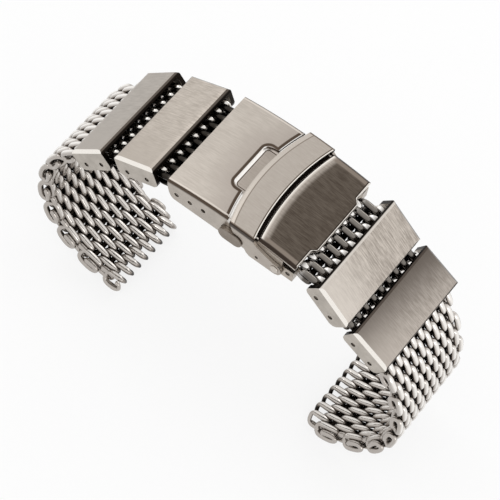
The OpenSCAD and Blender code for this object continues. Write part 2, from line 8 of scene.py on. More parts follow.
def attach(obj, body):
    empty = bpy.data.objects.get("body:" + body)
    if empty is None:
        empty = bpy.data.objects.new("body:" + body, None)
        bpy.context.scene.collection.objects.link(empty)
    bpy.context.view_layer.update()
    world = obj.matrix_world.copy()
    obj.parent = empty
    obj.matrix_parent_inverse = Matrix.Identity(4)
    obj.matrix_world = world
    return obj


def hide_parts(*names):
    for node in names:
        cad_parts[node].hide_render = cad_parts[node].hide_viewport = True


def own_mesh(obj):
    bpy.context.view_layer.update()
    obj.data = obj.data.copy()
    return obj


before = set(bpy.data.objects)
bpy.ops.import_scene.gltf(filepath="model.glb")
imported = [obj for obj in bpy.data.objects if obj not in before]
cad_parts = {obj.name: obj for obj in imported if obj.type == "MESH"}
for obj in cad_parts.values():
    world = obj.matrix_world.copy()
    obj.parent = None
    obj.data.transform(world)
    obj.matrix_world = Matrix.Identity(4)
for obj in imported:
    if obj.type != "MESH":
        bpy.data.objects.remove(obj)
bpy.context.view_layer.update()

# Clasp cover.
# Pressed from one steel sheet with two folded side walls, and satin brushed along the strap. The
# sunk field for the safety lock and its finger notch are struck in, which leaves a soft rim. The
# rim's shine, the lines beside it and the shade along the folds and edges are painted highlight
# and painted shade.
MM, PER_METRE = 0.001, 1000.0
CLASP_X, CLASP_Z = 13.784874, 55.939937  # from the clasp's own millimetres to the frame
CROWN_X, CROWN_Z, CROWN_RADIUS = 14.5, -86.8, 88.0  # the clasp's crowned top
LOCK_LEFT, LOCK_RIGHT = (51.51, 39.21), (66.29, 47.99)  # centre and radius of the strip's edges


class Value:
    """A socket in a material, with arithmetic written as plain expressions."""

    def __init__(self, tree, socket):
        self.tree, self.socket = tree, socket

    def put(self, target, value):
        if isinstance(value, Value):
            self.tree.links.new(value.socket, target)
        else:
            target.default_value = value

    def node(self, kind, settings=None, inputs=None, out=0):
        made = self.tree.nodes.new(kind)
        for name, value in (settings or {}).items():
            setattr(made, name, value)
        for name, value in (inputs or {}).items():
            self.put(made.inputs[name], value)
        return Value(self.tree, made.outputs[out])

    def math(self, operation, first, second=0.0):
        return self.node("ShaderNodeMath", {"operation": operation}, {0: first, 1: second})

    def __add__(self, other):
        return self.math("ADD", self, other)

    __radd__ = __add__

    def __sub__(self, other):
        return self.math("SUBTRACT", self, other)

    def __rsub__(self, other):
        return self.math("SUBTRACT", other, self)

    def __mul__(self, other):
        return self.math("MULTIPLY", self, other)

    __rmul__ = __mul__

    def __neg__(self):
        return 0.0 - self

    def __abs__(self):
        return self.math("ABSOLUTE", self)

    def least(self, other):
        return self.math("MINIMUM", self, other)

    def most(self, other):
        return self.math("MAXIMUM", self, other)

    def beyond(self, other, radius):
        """How far a point with these two coordinates lies outside a circle."""
        return self.math("SQRT", self * self + other * other) - radius

    def rise(self, low, high):
        """0 up to low, 1 from high on, and a smooth ramp between them."""
        return self.node("ShaderNodeMapRange", {"interpolation_type": "SMOOTHSTEP"},
                         {0: self, 1: low, 2: high})

    def fall(self, low, high):
        """1 up to low, 0 from high on."""
        return 1.0 - self.rise(low, high)

    def line(self, centre, half):
        """1 on a soft line about a value, 0 away from it."""
        return abs(self - centre).fall(0.45 * half, half)

    def blend(self, first, second):
        """Two colours mixed by this share."""
        return self.node("ShaderNodeMix", {"data_type": "RGBA"}, {0: self, 6: first, 7: second},
                         out=2)

    def split(self):
        """The three parts of a vector."""
        parts = self.node("ShaderNodeSeparateXYZ", None, {0: self}).socket.node.outputs
        return [Value(self.tree, part) for part in parts]

    def noise(self, scale, detail, roughness=0.5):
        return self.node("ShaderNodeTexNoise", None, {
            "Vector": self, "Scale": scale, "Detail": detail, "Roughness": roughness})


def shade(red, green, blue):
    """A colour given on the 0 to 255 scale, as the shader wants it."""
    return tuple((c / 255 / 12.92) if c < 11 else ((c / 255 + 0.055) / 1.055) ** 2.4
                 for c in (red, green, blue)) + (1.0,)


def new_finish(name, metallic=1.0):
    """A fresh material, its shader, and the place and the facing on the piece as vectors."""
    made = bpy.data.materials.new(name)
    made.use_nodes = True
    shader = made.node_tree.nodes["Principled BSDF"]
    shader.inputs["Metallic"].default_value = metallic
    place = Value(made.node_tree, None).node("ShaderNodeTexCoord", out="Object")
    return made, shader, place, Value(place.tree, place.socket.node.outputs["Normal"])


def in_clasp(place):
    """Millimetres in the clasp: along the strap, away from its middle, and up from its edge."""
    x, y, z = place.split()
    return x * PER_METRE + CLASP_X, abs(y * PER_METRE), z * PER_METRE - CLASP_Z


def past_arc(x, y, arc, more=0.0):
    """How far a point lies outside an arc that an edge of the lock's strip follows."""
    centre, radius = arc
    return (x - centre).beyond(y, radius + more)


def under_crown(x, z, height=0.0):
    """How deep a point lies under the cover's top, or under a face at some height above it."""
    return -(x - CROWN_X).beyond(z - CROWN_Z, CROWN_RADIUS + height)


def brush_marks(place, slope=0.0):
    """Fine marks of the brushing belt along the strap, and a slow unevenness of the plate."""
    level = place.node("ShaderNodeMapping", None, {
        "Vector": place, "Rotation": (0.0, math.radians(-slope), 0.0)})
    drawn = place.node("ShaderNodeVectorMath", {"operation": "MULTIPLY"}, {
        0: level, 1: (400.0, 4300.0, 400.0)})
    return drawn.noise(1.0, 4.0, 0.62), place.noise(420.0, 4.0, 0.6)


def satin_tone(hair, cloud, dark, light):
    return (0.75 * hair + 0.25 * cloud).rise(0.32, 0.68).blend(dark, light)


def set_finish(shader, place, tone, rough, height):
    """Colour, roughness and a height in millimetres."""
    place.put(shader.inputs["Base Color"], tone)
    place.put(shader.inputs["Roughness"], rough)
    place.put(shader.inputs["Normal"], place.node("ShaderNodeBump", None, {
        "Strength": 1.0, "Distance": MM, "Height": height}))


def dress(node, finish, bevel, segments=2):
    """Gives a solid its finish, and breaks its sharp edges."""
    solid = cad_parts[node]
    solid.data.materials.clear()
    solid.data.materials.append(finish)
    flat = solid.modifiers.new("flat_faces", "DECIMATE")
    flat.decimate_type, flat.angle_limit = "DISSOLVE", math.radians(0.4)
    soft = solid.modifiers.new("broken_edges", "BEVEL")
    soft.width, soft.segments, soft.limit_method = bevel * MM, segments, "ANGLE"
    soft.angle_limit, soft.use_clamp_overlap = math.radians(25), False
    smooth = solid.modifiers.new("soft_shade", "WEIGHTED_NORMAL")
    smooth.keep_sharp = False


GAP_SHADOW = shade(22, 18, 15)  # painted shadow in a gap between two plates
FAR_EDGE_SHADE = (0.62, 0.36)  # painted shade on the long edge that faces away from the light: how far sideways it faces
FIELD_GAP = 0.45  # from the strip's left edge to the sunk field's wall
# The finger notch: its middle, half its straight sides along and across, and its round corners.
NOTCH_X, NOTCH_LONG, NOTCH_WIDE, NOTCH_ROUND = 13.7, 2.8, 4.25, 1.2
# Across the rim: the painted shadow outside it, the painted highlight on its crest, the painted
# shade at its foot, and the sunk field.
RIM_SHADOW, RIM_HIGHLIGHT, RIM_FOOT_SHADE, SUNK = (0.42, 0.42), (-0.14, 0.36), (-0.5, 0.14), (-0.95, -0.6)

cover, shader, place, facing = new_finish("satin_cover")
x, y, z = in_clasp(place)
hair, cloud = brush_marks(place)
normal_y = facing.split()[1]
side = abs(normal_y)
top = side.fall(0.3, 0.7)
notch_x, notch_y = abs(x - NOTCH_X) - NOTCH_LONG, y - NOTCH_WIDE
notch = notch_x.most(0.0).beyond(notch_y.most(0.0), NOTCH_ROUND)
notch = notch + notch_x.most(notch_y).least(0.0)
rim = past_arc(x, y, LOCK_LEFT, FIELD_GAP).least(notch)
notch_side = y.rise(4.6, 5.2) * y.fall(5.5, 6.3)
tone = satin_tone(hair, cloud, shade(174, 166, 157), shade(190, 182, 173))
# Painted shade: the top darkens over the last few millimetres towards the rim.
tone = (0.8 * top * rim.fall(0.6, 6.5)).blend(tone, shade(168, 159, 151))
field = satin_tone(hair, cloud, shade(156, 147, 138), shade(168, 159, 150))
tone = (rim.fall(*SUNK) * top).blend(tone, field)
# Painted light on the rim: a shadow outside it, a highlight on its crest and shade at its foot.
tone = (rim.line(*RIM_SHADOW) * top).blend(tone, shade(80, 68, 58))
tone = (rim.line(*RIM_HIGHLIGHT) * (1.0 - notch_side)).blend(tone, shade(252, 249, 245))
tone = (rim.line(*RIM_FOOT_SHADE) * top).blend(tone, shade(90, 78, 68))
# Painted shadow on the cover in the gap between the lock's strip and the pad.
tone = (past_arc(x, y, LOCK_RIGHT).line(-0.27, 0.5) * top).blend(tone, GAP_SHADOW)
# Painted highlight along both long edges of the top.
tone = (y.line(11.4, 0.2) * top).blend(tone, shade(204, 196, 187))
# Painted shade on the side walls just under the fold from the top.
fold = side.rise(0.2, 0.45) * under_crown(x, z).fall(0.35, 0.95)
tone = fold.blend(tone, shade(84, 72, 62))
# Painted shade on the long edge that faces away from the light.
tone = normal_y.line(*FAR_EDGE_SHADE).blend(tone, shade(74, 63, 54))
set_finish(shader, place, tone, 0.3 + 0.16 * hair - 0.12 * rim.line(-0.1, 0.5),
           0.004 * hair + 0.16 * rim.rise(-0.4, 0.5))
dress("clasp_cover", cover, 0.16)

# Top pad.
# Sheet pad riveted on the right half of the cover, over the strap's end. Its top is brushed dark
# and the edge beside the lock is ground to a wide rim. The rim, the side faces and the cut end
# carry painted highlights, with painted shade beside them and on the edges.
PAD_GAP, PAD_TOP = 0.55, 0.3  # from the strip's right edge, and above the cover's crown
PAD_END, PAD_STEP, STEP_FROM, STEP_TO = 28.9, 0.9, 6.1, 7.3  # the cut end steps back at its corners
# In from the edge beside the lock: the ground rim, which is lighter steel with a painted highlight,
# its brightest painted highlight, and the painted highlight line at its outside.
GROUND, GROUND_HIGHLIGHT, GROUND_HIGHLIGHT_LINE = (1.2, 2.2), (0.7, 1.15), (0.55, 0.14)

pad, shader, place, facing = new_finish("dark_pad")
x, y, z = in_clasp(place)
hair, cloud = brush_marks(place)
normal_y, normal_z = facing.split()[1:]
side, upward = abs(normal_y), normal_z.rise(0.5, 0.8)
inward = -past_arc(x, y, LOCK_RIGHT, -PAD_GAP)
cut = PAD_END + PAD_STEP * y.fall(STEP_FROM, STEP_TO) - x
tone = satin_tone(hair, cloud, shade(75, 66, 58), shade(101, 92, 83))
ground = satin_tone(hair, cloud, shade(150, 141, 131), shade(172, 163, 154))
# The ground rim's lighter tone is its own finish and painted highlight; its brightest part and
# outer line are painted highlight.
tone = inward.fall(*GROUND).blend(tone, ground)
tone = inward.fall(*GROUND_HIGHLIGHT).blend(tone, shade(212, 204, 195))
tone = (inward.line(*GROUND_HIGHLIGHT_LINE) * upward).blend(tone, shade(240, 234, 226))
# Painted highlight in a band along each long edge, and painted shade on the rounded edge itself.
tone = (y.line(10.95, 0.6) * inward.rise(0.6, 1.6)).blend(tone, shade(134, 123, 113))
tone = y.rise(11.2, 11.55).blend(tone, shade(60, 51, 45))
# Painted highlight on the pad's side faces.
wall = side.rise(0.6, 0.9) * under_crown(x, z, PAD_TOP).rise(0.5, 0.8)
tone = wall.blend(tone, shade(214, 206, 197))
# Painted shade on the long edge that faces away from the light.
tone = normal_y.line(*FAR_EDGE_SHADE).blend(tone, shade(40, 33, 28))
# Painted shade just in from the cut end, and a painted highlight on the cut end's edge.
tone = (cut.line(0.26, 0.14) * upward).blend(tone, shade(56, 48, 42))
tone = (cut.line(0.0, 0.16) * side.fall(0.4, 0.7)).blend(tone, shade(236, 230, 222))
# Painted shadow on the pad's face beside the lock.
gap_side_shade = inward.fall(0.03, 0.1) * side.fall(0.5, 0.8)
set_finish(shader, place, gap_side_shade.blend(tone, GAP_SHADOW), 0.3 + 0.2 * hair, 0.005 * hair)
dress("top_pad", pad, 0.1)

# Safety lock.
# Bail of satin sheet that swings over the pad. Its strip lies in the cover's sunk field with its
# left edge rolled, and an arm at each side turns on a pivot at the clasp's end.
STRIP_TOP, ARM_FACE = 0.35, 12.42  # above the cover's crown, and from the middle to an arm's edge
ROLLED_HIGHLIGHT, ROLL_FOOT_SHADE = (0.7, 0.95), (0.95, 0.13)  # in from the strip's left edge: the rolled band's painted highlight, and the painted shade at its foot

lock, shader, place, facing = new_finish("satin_lock")
x, y, z = in_clasp(place)
hair, cloud = brush_marks(place)
normal_y, normal_z = facing.split()[1:]
side = abs(normal_y)
rolled = -past_arc(x, y, LOCK_LEFT)
right_edge = past_arc(x, y, LOCK_RIGHT)
below = under_crown(x, z, STRIP_TOP)
upper = below.fall(0.25, 0.5)
tone = satin_tone(hair, cloud, shade(172, 163, 154), shade(182, 174, 165))
# Painted highlight on the rolled band and painted shade at its foot.
tone = (rolled.fall(*ROLLED_HIGHLIGHT) * upper).blend(tone, shade(190, 182, 173))
tone = (rolled.line(*ROLL_FOOT_SHADE) * upper).blend(tone, shade(136, 126, 116))
# Painted shade then a painted highlight along the strip's right edge.
tone = (right_edge.line(0.3, 0.16) * upper).blend(tone, shade(104, 94, 84))
tone = (right_edge.line(0.08, 0.14) * upper).blend(tone, shade(238, 232, 224))
# Painted shade on the bend down to the arms.
tone = (y.line(ARM_FACE, 0.22) * below.fall(0.1, 0.3)).blend(tone, shade(120, 108, 98))
tone = (side.rise(0.3, 0.6) * below.fall(0.7, 1.3)).blend(tone, shade(66, 57, 50))
# Painted shade on the long edge that faces away from the light.
tone = normal_y.line(*FAR_EDGE_SHADE).blend(tone, shade(56, 48, 42))
# Painted shadow on the cut ends, which face the gaps.
cut_end_shade = below.rise(0.12, 0.2) * below.fall(0.85, 0.95) * side.fall(0.4, 0.7)
cut_end_shade = cut_end_shade * normal_z.rise(-0.6, -0.3)
set_finish(shader, place, cut_end_shade.blend(tone, GAP_SHADOW), 0.28 + 0.16 * hair,
           0.004 * hair + 0.1 * rolled.rise(0.1, 1.0))
dress("safety_lock", lock, 0.09)

# Lock pivots.
# Turned pins with polished domed heads, riveted through the side walls.
NEAR, FAR = -1, 1
AXIS = 0.001  # stands in for a radius of nothing, so that a turned part closes


def polished_steel(name, dark, light, rough=0.12):
    made, shader, place, _ = new_finish(name)
    cloud = place.noise(900.0, 3.0)
    set_finish(shader, place, cloud.blend(dark, light), rough + 0.1 * cloud, 0.002 * cloud)
    return made


def mesh_piece(name, verts, faces, finish, body, node, marks=None):
    """A piece from vertices in metres, in place of a solid and riding on its body."""
    mesh = bpy.data.meshes.new(name)
    mesh.from_pydata([tuple(v) for v in verts], [], faces)
    mesh.polygons.foreach_set("use_smooth", [True] * len(mesh.polygons))
    mesh.materials.append(finish)
    for mark, values in (marks or {}).items():
        mesh.attributes.new(mark, "FLOAT", "POINT").data.foreach_set("value", values)
    piece = bpy.data.objects.new(name, mesh)
    bpy.context.scene.collection.objects.link(piece)
    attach(piece, body)
    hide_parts(node)
    return piece


def skin(rings, around, flip=False):
    """Faces between rings of vertices."""
    faces = []
    for ring in range(rings - 1):
        for k in range(around):
            a, b = ring * around + k, ring * around + (k + 1) % around
            face = (a, b, b + around, a + around)
            faces.append((face[0], face[3], face[2], face[1]) if flip else face)
    return faces


def turned(profile, around=28):
    """Vertices in millimetres and faces of a part turned about the strap's cross axis.

    profile: (place on the axis, radius) of each ring.
    """
    verts = []
    for y, radius in profile:
        for k in range(around):
            a = 2 * math.pi * k / around
            verts.append((radius * math.cos(a), y, radius * math.sin(a)))
    return verts, skin(len(profile), around, flip=profile[-1][0] > profile[0][0])


def turned_parts(parts):
    """Vertices in metres and faces of turned parts, each ((x, z) in the clasp, profile)."""
    verts, faces = [], []
    for (x, z), profile in parts:
        start = len(verts)
        rings, quads = turned(profile)
        verts += [((x - CLASP_X + v[0]) * MM, v[1] * MM, (z + CLASP_Z + v[2]) * MM) for v in rings]
        faces += [tuple(start + i for i in quad) for quad in quads]
    return verts, faces


bright_steel = polished_steel("polished_pins", shade(176, 168, 158), shade(206, 199, 191))
PIVOT = (25.15, -3.3)
PIVOT_PROFILE = [
    (11.1, AXIS), (11.1, 0.5), (12.68, 0.5), (12.68, 0.84), (12.74, 0.85), (12.84, 0.8),
    (12.91, 0.62), (12.94, 0.34), (12.945, AXIS)]
verts, faces = turned_parts([(PIVOT, [(s * y, r) for y, r in PIVOT_PROFILE]) for s in (NEAR, FAR)])
mesh_piece("pivot_heads", verts, faces, bright_steel, "clasp", "lock_pivots")

# Push buttons.
# Milled satin buttons that stand out of both side walls, with a flange and a hook inside.
def plain_satin(name, dark, light, rim, rough=0.28):
    """Satin steel with a painted highlight on its broken edges, in the colour rim."""
    made, shader, place, facing = new_finish(name)
    hair, cloud = brush_marks(place)
    side = abs(facing.split()[1])
    edge = side.rise(0.2, 0.35) * side.fall(0.8, 0.95)
    # Painted highlight on the broken edges.
    tone = edge.blend(satin_tone(hair, cloud, dark, light), rim)
    set_finish(shader, place, tone, rough + 0.16 * hair - 0.1 * edge, 0.004 * hair)
    return made


button = plain_satin("satin_buttons", shade(128, 118, 108), shade(150, 140, 130),
                     shade(226, 219, 210))
for node in ("near_button", "far_button"):
    dress(node, button, 0.22, segments=3)

# Button springs.
# Small coils of bright spring wire between the cover and the hook of each button.
SPRING_X, SPRING_Z = 15.2, -2.6
COIL_RADIUS, COIL_WIRE, COIL_TURNS = 0.55, 0.17, 5
COIL_FROM, COIL_LONG, COIL_SEAT = 4.97, 2.96, 4.8  # out from the middle of the strap
COIL_STEPS, COIL_SIDES = 140, 8

for side, name in ((NEAR, "near"), (FAR, "far")):
    verts = []
    for i in range(COIL_STEPS + 1):
        a = 2 * math.pi * COIL_TURNS * i / COIL_STEPS
        out = Vector((math.cos(a), 0, math.sin(a)))
        centre = COIL_RADIUS * out
        centre.y = side * (COIL_FROM + COIL_LONG * i / COIL_STEPS)
        for k in range(COIL_SIDES):
            t = 2 * math.pi * k / COIL_SIDES
            point = centre + COIL_WIRE * (out * math.cos(t) + Vector((0, 1, 0)) * math.sin(t))
            verts.append(((point.x + SPRING_X - CLASP_X) * MM, point.y * MM,
                          (point.z + SPRING_Z + CLASP_Z) * MM))
    faces = skin(COIL_STEPS + 1, COIL_SIDES, flip=side == FAR)
    first_end = tuple(range(COIL_SIDES))
    last_end = tuple(COIL_STEPS * COIL_SIDES + k for k in range(COIL_SIDES))
    faces += [first_end, last_end[::-1]] if side == FAR else [first_end[::-1], last_end]
    spring = mesh_piece(f"{name}_coil", verts, faces, bright_steel, "clasp", f"{name}_spring")
    seat = ((SPRING_X - CLASP_X) * MM, side * COIL_SEAT * MM, (CLASP_Z + SPRING_Z) * MM)
    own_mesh(spring)

# Folding blades.
# Two flat stamped blades inside the clasp, which swing out when it opens. Satin on their faces,
# with round edges that carry a painted highlight.
blade = plain_satin("satin_blades", shade(158, 149, 138), shade(184, 175, 165),
                    shade(212, 205, 197), 0.22)
dress("inner_blade", blade, 0.07)
dress("outer_blade", blade, 0.07)

# Blade hinge pins.
# Plain pins with chamfered ends, driven through the barrels of both hinges.
def both_ends(end):
    """Profile of a part with two like ends, from one end: (place, radius) from outside in."""
    return [(-y, r) for y, r in end] + [(y, r) for y, r in reversed(end)]


def pin_profile(half, radius, chamfer):
    return both_ends([(half, AXIS), (half, radius - chamfer), (half - chamfer, radius)])


HINGE_PINS = [((6.2, -3.45), pin_profile(8.1, 0.5, 0.12)),
              ((23.2, -2.9), pin_profile(10.3, 0.45, 0.1))]
verts, faces = turned_parts(HINGE_PINS)
mesh_piece("hinge_pins", verts, faces, bright_steel, "inner_fold", "blade_pins")

# Spring bars.
# Thin steel tubes with a shouldered tip at each end, which hold the strap's ends in the clasp.
LEFT_BAR, RIGHT_BAR = (2.34, -2.86), (27.6, -3.2)
TIP_RADIUS, TUBE_RADIUS, GROOVE_RADIUS = 0.44, 0.7, 0.6


def bar_profile(tube, tip):
    """tube and tip: from the bar's middle to the end of its tube and of its tip."""
    return both_ends([
        (tip, AXIS), (tip, TIP_RADIUS - 0.1), (tip - 0.1, TIP_RADIUS), (tube, TIP_RADIUS),
        (tube, GROOVE_RADIUS), (tube - 0.1, TUBE_RADIUS), (tube - 0.7, TUBE_RADIUS),
        (tube - 0.8, GROOVE_RADIUS), (tube - 1.0, GROOVE_RADIUS), (tube - 1.1, TUBE_RADIUS)])


# The bars lie in shade inside the clasp and the mesh, so their steel is painted dark as shade.
shaded_bar_steel = polished_steel("shaded_bar_steel", shade(86, 80, 74), shade(118, 111, 104), 0.3)
for name, body, place, profile in (("left", "clasp", LEFT_BAR, bar_profile(11.05, 11.9)),
                                   ("right", "outer_fold", RIGHT_BAR, bar_profile(9.99, 11.8))):
    verts, faces = turned_parts([(place, profile)])
    mesh_piece(f"{name}_spring_bar", verts, faces, shaded_bar_steel, body, f"{name}_bar")

# Plate links.
# Folded steel plates that clamp the mesh, brushed along the strap on top and satin on the sides.
# Their top edges at both sides of the strap are ground to a bevel, with a painted highlight on the
# near bevel and painted shade on the far one. The ends are painted dark as shade, and each link's
# tones are painted lighter or darker by how the light falls on it.
LEFT, RIGHT = -1, 1
LEFT_PITCH, RIGHT_PITCH, PIN_PITCH = 3.5, 3.4, 4.8  # between rows of mesh, and a link's two pins
LINK_SLOPES = {1: 46, 2: 24.5, 3: 40, 4: 30}
SHORT_SLOPES = {1: (13, 18), 3: (29, 35), 5: (5, 15), 7: (32, 30)}  # of the rows of short mesh
LINK_TOP = 3.3  # a plate's top above its pins
# Painted shade on the plates' ends, which face the gaps.
LINK_END_SHADE = shade(30, 25, 21)
# Each link's tones are painted light: one steel, painted lighter or darker by how the light falls
# on that link, with painted light on its near side and on the top edge of its ends, and painted
# shade on its side in shade.
LINK_LIGHT_TONES = {  # darkest and lightest marks, near side, top edge of the ends, and side in shade
    1: (shade(165, 158, 150), shade(185, 178, 170), shade(177, 170, 162), shade(84, 76, 69)),
    2: (shade(174, 165, 155), shade(206, 197, 187), shade(184, 175, 165), shade(84, 76, 69)),
    3: (shade(156, 147, 138), shade(208, 199, 189), shade(216, 208, 199), shade(206, 199, 191)),
    4: (shade(160, 151, 142), shade(202, 193, 184), shade(186, 177, 168), shade(76, 68, 62),
        shade(102, 94, 87)),
}


def next_point(point, slope, step, side):
    a = math.radians(slope)
    return (point[0] + side * step * math.cos(a), point[1] - step * math.sin(a))


def course(start, slopes, step, side):
    """Points of the strap, in steps of one length down a list of slopes."""
    points = [start]
    for slope in slopes:
        points.append(next_point(points[-1], slope, step, side))
    return points


left_inner = course(LEFT_BAR, SHORT_SLOPES[1], LEFT_PITCH, LEFT)
left_outer = course(next_point(left_inner[2], LINK_SLOPES[2], PIN_PITCH, LEFT), SHORT_SLOPES[3],
                    LEFT_PITCH, LEFT)
left_start = next_point(left_outer[2], LINK_SLOPES[1], PIN_PITCH, LEFT)
right_inner = course(RIGHT_BAR, SHORT_SLOPES[5], RIGHT_PITCH, RIGHT)
right_outer = course(next_point(right_inner[2], LINK_SLOPES[3], PIN_PITCH, RIGHT), SHORT_SLOPES[7],
                     RIGHT_PITCH, RIGHT)
right_start = next_point(right_outer[2], LINK_SLOPES[4], PIN_PITCH, RIGHT)
LINKS = [(1, LEFT, left_outer[2], left_start), (2, LEFT, left_inner[2], left_outer[0]),
         (3, RIGHT, right_inner[2], right_outer[0]), (4, RIGHT, right_outer[2], right_start)]


def link_finish(number, turn, middle, dark, light, near, lip_light, shaded=None):
    """Plate finish. middle: (x, z) between the link's pins, in millimetres of the frame."""
    made, shader, place, facing = new_finish(f"brushed_link_{number}")
    hair, cloud = brush_marks(place, math.degrees(turn))
    x, y, z = (part * PER_METRE for part in place.split())
    normal_x, normal_y, normal_z = facing.split()
    ahead, up = math.cos(turn), math.sin(turn)
    along = x * ahead - z * up - (middle[0] * ahead - middle[1] * up)
    level = x * up + z * ahead - (middle[0] * up + middle[1] * ahead)
    side, endways = abs(normal_y), abs(normal_x * ahead - normal_z * up)
    tone = satin_tone(hair, cloud, dark, light)
    # Painted light towards the near side.
    tone = (0.75 * (-y).rise(-2.0, 11.0)).blend(tone, near)
    if shaded:
        tone = (along - 0.14 * y).fall(-6.6, 5.2).blend(tone, shaded)
    wall = side.rise(0.85, 0.97)
    wall_tone = satin_tone(hair, cloud, shade(170, 163, 154), shade(192, 185, 176))
    tone = wall.blend(tone, wall_tone)
    # Painted highlight on the near bevel, painted shade on the far one.
    bevel = side.rise(0.3, 0.55) * side.fall(0.8, 0.93) * endways.fall(0.3, 0.6)
    bevel_light = normal_y.rise(-0.2, 0.2).blend(shade(242, 237, 230), shade(66, 59, 52))
    tone = bevel.blend(tone, bevel_light)
    # Painted shade on the ends, with painted light on the top edge of the ends.
    end_tone = level.rise(LINK_TOP - 0.48, LINK_TOP - 0.36).blend(LINK_END_SHADE, lip_light)
    tone = (endways.rise(0.3, 0.7) * (1.0 - wall)).blend(tone, end_tone)
    set_finish(shader, place, tone, 0.3 + 0.18 * hair - 0.16 * bevel, 0.005 * hair)
    return made


for number, side, pin_a, pin_b in LINKS:
    middle = ((pin_a[0] + pin_b[0]) / 2 - CLASP_X, (pin_a[1] + pin_b[1]) / 2 + CLASP_Z)
    turn = math.radians(side * LINK_SLOPES[number])
    dress(f"plate_link_{number}", link_finish(number, turn, middle, *LINK_LIGHT_TONES[number]), 0.1)

# Link pins.
# Split pins pressed through the plates and the mesh, cut nearly flush and left dull at their ends.
split_steel, shader, place, facing = new_finish("split_pins")
cloud = place.noise(2200.0, 3.0)
pin_end = abs(facing.split()[1]).rise(0.7, 0.9)
end_tone = cloud.rise(0.4, 0.6).blend(shade(64, 55, 48), shade(128, 118, 108))
# Painted shade on the pins' shafts, which lie inside the mesh; their ends keep their own dull tone.
set_finish(shader, place, pin_end.blend(shade(74, 68, 62), end_tone), 0.2 + 0.3 * pin_end,
           0.01 * cloud)
split_pin = pin_profile(11.88, 0.5, 0.12)
for number, _, pin_a, pin_b in LINKS:
    verts, faces = turned_parts([(pin_a, split_pin), (pin_b, split_pin)])
    mesh_piece(f"split_pins_{number}", verts, faces, split_steel, f"link_{number}",
               f"link_pins_{number}")

# Woven mesh.
# Each row is one thick steel wire wound into a flat spiral and hooked into its neighbours. Then the
# strap is rolled, and its faces are ground and polished. The crests carry a painted highlight, and
# the inside of the weave is painted dark as shade.
LOOPS, LOOP_STEP, HALF_MESH, ARM_PITCH = 9, 2.4, 1.645, 3.4
MID_WIDTH = 0.68  # half the wire's width on the strap's faces
# Half the wire's thickness in a free row, round a bar, round a pin, and in the last row.
FREE_WIRE, BAR_WIRE, PIN_WIRE, LAST_WIRE = 0.56, 0.46, 0.52, 0.4
STEPS_A_TURN, WIRE_SIDES = 28, 12
TIP_ONSET, LOOP_ROUND, FACE_ROUND, LEAN_ONSET = 2.2, 0.76, 0.66, 2.5  # powers that shape a loop
PROUD = 0.08  # what the wire stands out before its faces are ground
CURLED_TAIL, PLAIN_TAIL = (0.34, 1.9), (0.16, 0.0)  # a wire's end past its last loop, and its curl
END_RINGS = [(0.6, 0.75), (0.9, 0.35)]  # a wire's rounded end: how far out, and its size
# How polished the wire is, which also sets its painted light: a painted highlight high on the
# crests and painted shade low in the weave. From what height above the weave's middle, and over how
# much of it; the inside of the strap gets painted shade.
FLANK, CREST, CREST_ROUND, INNER_SHADE = (0.35, 0.8), (1.0, 0.6), 1.6, 0.85
EDGE_LIGHTEN, EDGE_START, EDGE_REACH = 0.62, 0.85, 3.0  # loops near the strap's sides are painted lighter all round, with less painted shade, and made smoother


def wire_finish(name, deep_shade, flank, face, tips=None):
    """Wire finish, with painted light. deep_shade: painted shade deep in the weave; face: the
    crests, where a highlight is painted. tips: colour of the painted highlight on the turns that
    face the light.
    """
    made, shader, place, _ = new_finish(name)
    polish_and_painted_light = place.node("ShaderNodeAttribute", {"attribute_name": "polish_and_painted_light"}, out="Fac")
    marks = place.noise(2600.0, 2.0)
    tone = polish_and_painted_light.rise(0.0, 0.55).blend(deep_shade, flank)
    tone = polish_and_painted_light.rise(0.45, 1.0).blend(tone, face)
    if tips:
        turn = place.node("ShaderNodeAttribute", {"attribute_name": "turned"}, out="Fac")
        tone = (turn * polish_and_painted_light.rise(0.2, 0.55)).blend(tone, tips)
    rough = 0.42 - 0.26 * polish_and_painted_light.rise(0.2, 0.8) + 0.06 * marks
    set_finish(shader, place, tone, rough, 0.003 * marks)
    return made


arm_wire = wire_finish("polished_wire", shade(36, 31, 27), shade(152, 144, 137),
                       shade(246, 242, 237))
# The short runs of mesh between the plates are painted darker as shade, the left ones darker still,
# with a painted highlight on the turns that face the light.
right_shaded_wire = wire_finish("shaded_wire", shade(14, 11, 9), shade(78, 72, 67), shade(126, 121, 115),
                         shade(246, 243, 239))
left_shaded_wire = wire_finish("dark_shaded_wire", shade(10, 8, 7), shade(36, 32, 29), shade(52, 48, 44),
                        shade(226, 222, 216))


def placed(point, slope, side):
    """Matrix of a row: at a point of the strap, turned down by its slope."""
    centre = Vector(((point[0] - CLASP_X) * MM, 0, (point[1] + CLASP_Z) * MM))
    return Matrix.Translation(centre) @ Matrix.Rotation(math.radians(side * slope), 4, "Y")


def share(value, low, span):
    """0 at low, 1 a span further on."""
    return min(max((value - low) / span, 0.0), 1.0)


def first_loop(kind):
    """Where a row starts across the strap. Rows of the two kinds lie half a loop apart."""
    return kind * LOOP_STEP / 4 - (LOOPS - 1) / 2 * LOOP_STEP


